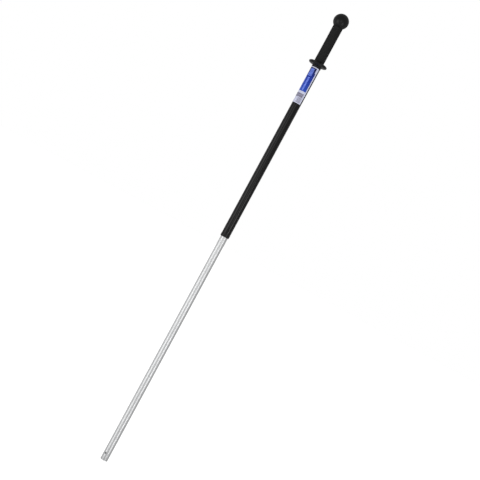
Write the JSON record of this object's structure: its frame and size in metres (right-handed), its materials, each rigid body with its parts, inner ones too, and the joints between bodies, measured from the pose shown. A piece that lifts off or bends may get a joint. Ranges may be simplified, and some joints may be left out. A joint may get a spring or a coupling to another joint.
{
  "type": "roller extension pole",
  "caption": "Telescopic paint-roller pole: ball-ended grip with a hand guard on a black tube, an aluminium inner tube and an internal twist lock.",
  "frame": {"origin": "middle of the hand grip, on the pole's axis", "axes": "+Z along the pole towards the knob, -Y towards the front, where the label is"},
  "size_m": [0.054, 0.054, 1.39],
  "materials": {
    "black_paint": "satin black powder coat",
    "grip_rubber": "matte, fine diamond texture",
    "black_plastic": "moulded, lightly satin",
    "printed_label": "printed film, white with blue bands",
    "aluminium": "satin drawn tube",
    "white_nylon": "moulded nylon",
    "red_nylon": "moulded nylon",
    "black_rubber": "matte",
    "zinc_steel": "zinc plated"
  },
  "bodies": {
    "handle": {"outer_tube": "black_paint", "grip_sleeve": "grip_rubber", "hand_guard": "black_plastic", "knob": "black_plastic", "knob_plug": "white_nylon", "knob_screw": "zinc_steel", "knob_pin": "zinc_steel", "end_buffer": "black_rubber", "label": "printed_label", "end_ferrule": "black_plastic"},
    "lock_ring": {"cam_ring": "red_nylon", "drag_ring": "black_rubber"},
    "inner_pole": {"inner_tube": "aluminium", "cam_plug": "white_nylon", "plug_pin": "zinc_steel", "cam_washer": "zinc_steel", "cam_screw": "zinc_steel"}
  },
  "joints": [
    {"name": "extend", "type": "slide", "parent": "handle", "child": "lock_ring", "axis": [0, 0, 1], "range_m": [0, 0.541]},
    {"name": "twist_lock", "type": "hinge", "parent": "lock_ring", "child": "inner_pole", "pos_m": [0, 0, -0.53], "axis": [0, 0, 1], "range_deg": [-18, 18]}
  ]
}
